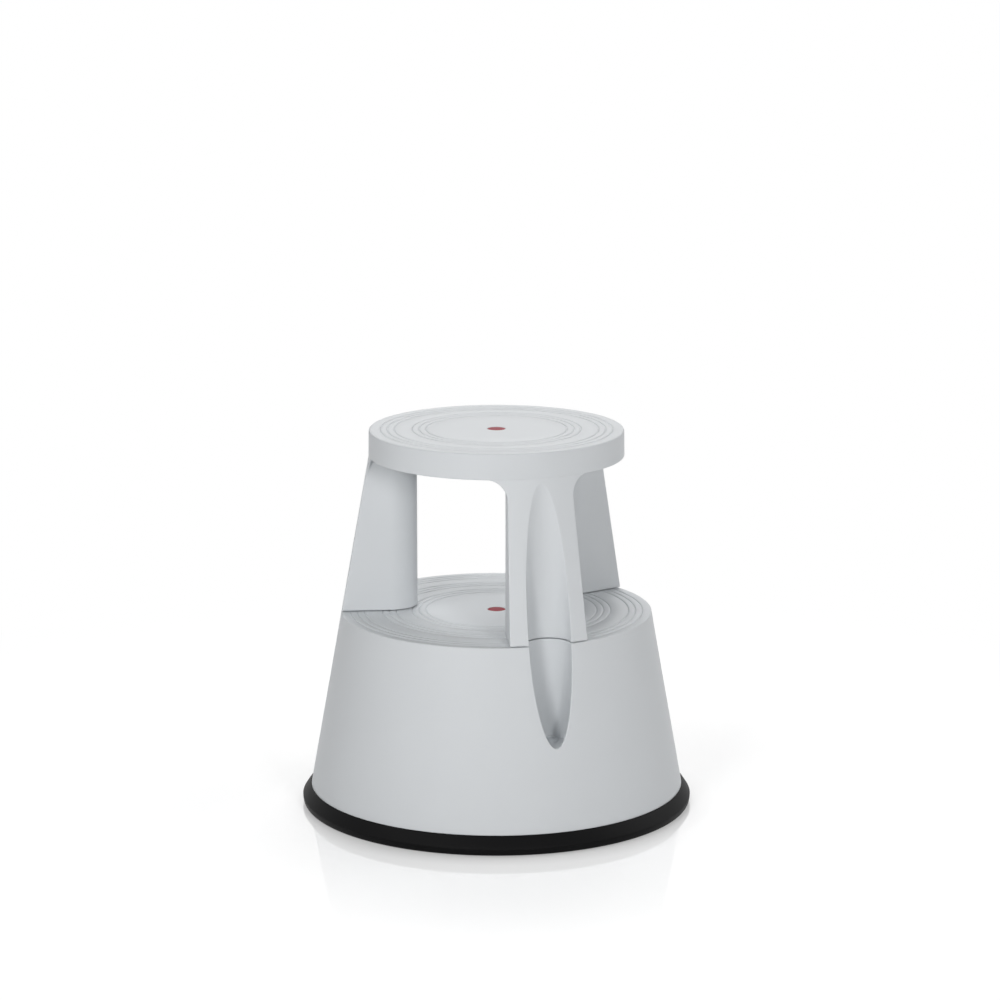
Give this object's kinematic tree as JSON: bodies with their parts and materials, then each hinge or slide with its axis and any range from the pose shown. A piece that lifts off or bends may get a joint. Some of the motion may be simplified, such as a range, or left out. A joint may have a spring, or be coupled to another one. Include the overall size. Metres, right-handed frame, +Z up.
{
  "type": "step stool",
  "caption": "Rolling kick step with two round steps on a conical plastic base, a rubber foot ring and sprung casters that retract under a person's weight.",
  "frame": {"origin": "floor level under the middle of the stool", "axes": "+Z up through both steps, -Y towards one of the three legs"},
  "size_m": [0.4417, 0.4418, 0.43],
  "materials": {
    "grey_plastic": "fine matt moulded grain",
    "black_rubber": "matt moulded rubber",
    "red_plastic": "smooth satin",
    "dark_plastic": "matt",
    "natural_nylon": "smooth turned-looking nylon",
    "black_nylon": "fine matt",
    "wheel_plastic": "smooth, scuffed on the tread",
    "zinc_steel": "zinc plated",
    "spring_steel": "oiled wire"
  },
  "bodies": {
    "stool": {"upper_shell": "grey_plastic", "base_shell": "grey_plastic", "bumper_ring": "black_rubber", "upper_cap": "red_plastic", "lower_cap": "red_plastic", "leg_screws": "zinc_steel", "housing_cover_1": "dark_plastic", "housing_cover_2": "dark_plastic", "housing_cover_3": "dark_plastic", "cover_screws": "zinc_steel"},
    "plunger_1": {"plunger_1": "natural_nylon", "spring_1": "spring_steel"},
    "fork_1": {"fork_1": "black_nylon", "stem_1": "zinc_steel", "stem_clip_1": "spring_steel", "axle_1": "zinc_steel"},
    "left_wheel_1": {"left_wheel_1": "wheel_plastic"},
    "right_wheel_1": {"right_wheel_1": "wheel_plastic"},
    "plunger_2": {"plunger_2": "natural_nylon", "spring_2": "spring_steel"},
    "fork_2": {"fork_2": "black_nylon", "stem_2": "zinc_steel", "stem_clip_2": "spring_steel", "axle_2": "zinc_steel"},
    "left_wheel_2": {"left_wheel_2": "wheel_plastic"},
    "right_wheel_2": {"right_wheel_2": "wheel_plastic"},
    "plunger_3": {"plunger_3": "natural_nylon", "spring_3": "spring_steel"},
    "fork_3": {"fork_3": "black_nylon", "stem_3": "zinc_steel", "stem_clip_3": "spring_steel", "axle_3": "zinc_steel"},
    "left_wheel_3": {"left_wheel_3": "wheel_plastic"},
    "right_wheel_3": {"right_wheel_3": "wheel_plastic"}
  },
  "joints": [
    {"name": "plunger_1_slide", "type": "slide", "parent": "stool", "child": "plunger_1", "axis": [0, 0, 1], "range_m": [0, 0.008], "stiffness_N_per_m": 3600, "springref_m": -0.012, "deforming": ["spring_1"]},
    {"name": "fork_1_swivel", "type": "hinge", "parent": "plunger_1", "child": "fork_1", "pos_m": [0.13164, -0.076, 0.044], "axis": [0, 0, 1], "continuous": true},
    {"name": "left_wheel_1_spin", "type": "hinge", "parent": "fork_1", "child": "left_wheel_1", "pos_m": [0.12004, -0.09, 0.019], "axis": [1, 0, 0], "continuous": true},
    {"name": "right_wheel_1_spin", "type": "hinge", "parent": "fork_1", "child": "right_wheel_1", "pos_m": [0.14324, -0.09, 0.019], "axis": [1, 0, 0], "continuous": true},
    {"name": "plunger_2_slide", "type": "slide", "parent": "stool", "child": "plunger_2", "axis": [0, 0, 1], "range_m": [0, 0.008], "stiffness_N_per_m": 3600, "springref_m": -0.012, "deforming": ["spring_2"]},
    {"name": "fork_2_swivel", "type": "hinge", "parent": "plunger_2", "child": "fork_2", "pos_m": [0, 0.152, 0.044], "axis": [0, 0, 1], "continuous": true},
    {"name": "left_wheel_2_spin", "type": "hinge", "parent": "fork_2", "child": "left_wheel_2", "pos_m": [-0.0116, 0.138, 0.019], "axis": [1, 0, 0], "continuous": true},
    {"name": "right_wheel_2_spin", "type": "hinge", "parent": "fork_2", "child": "right_wheel_2", "pos_m": [0.0116, 0.138, 0.019], "axis": [1, 0, 0], "continuous": true},
    {"name": "plunger_3_slide", "type": "slide", "parent": "stool", "child": "plunger_3", "axis": [0, 0, 1], "range_m": [0, 0.008], "stiffness_N_per_m": 3600, "springref_m": -0.012, "deforming": ["spring_3"]},
    {"name": "fork_3_swivel", "type": "hinge", "parent": "plunger_3", "child": "fork_3", "pos_m": [-0.13164, -0.076, 0.044], "axis": [0, 0, 1], "continuous": true},
    {"name": "left_wheel_3_spin", "type": "hinge", "parent": "fork_3", "child": "left_wheel_3", "pos_m": [-0.14324, -0.09, 0.019], "axis": [1, 0, 0], "continuous": true},
    {"name": "right_wheel_3_spin", "type": "hinge", "parent": "fork_3", "child": "right_wheel_3", "pos_m": [-0.12004, -0.09, 0.019], "axis": [1, 0, 0], "continuous": true}
  ]
}
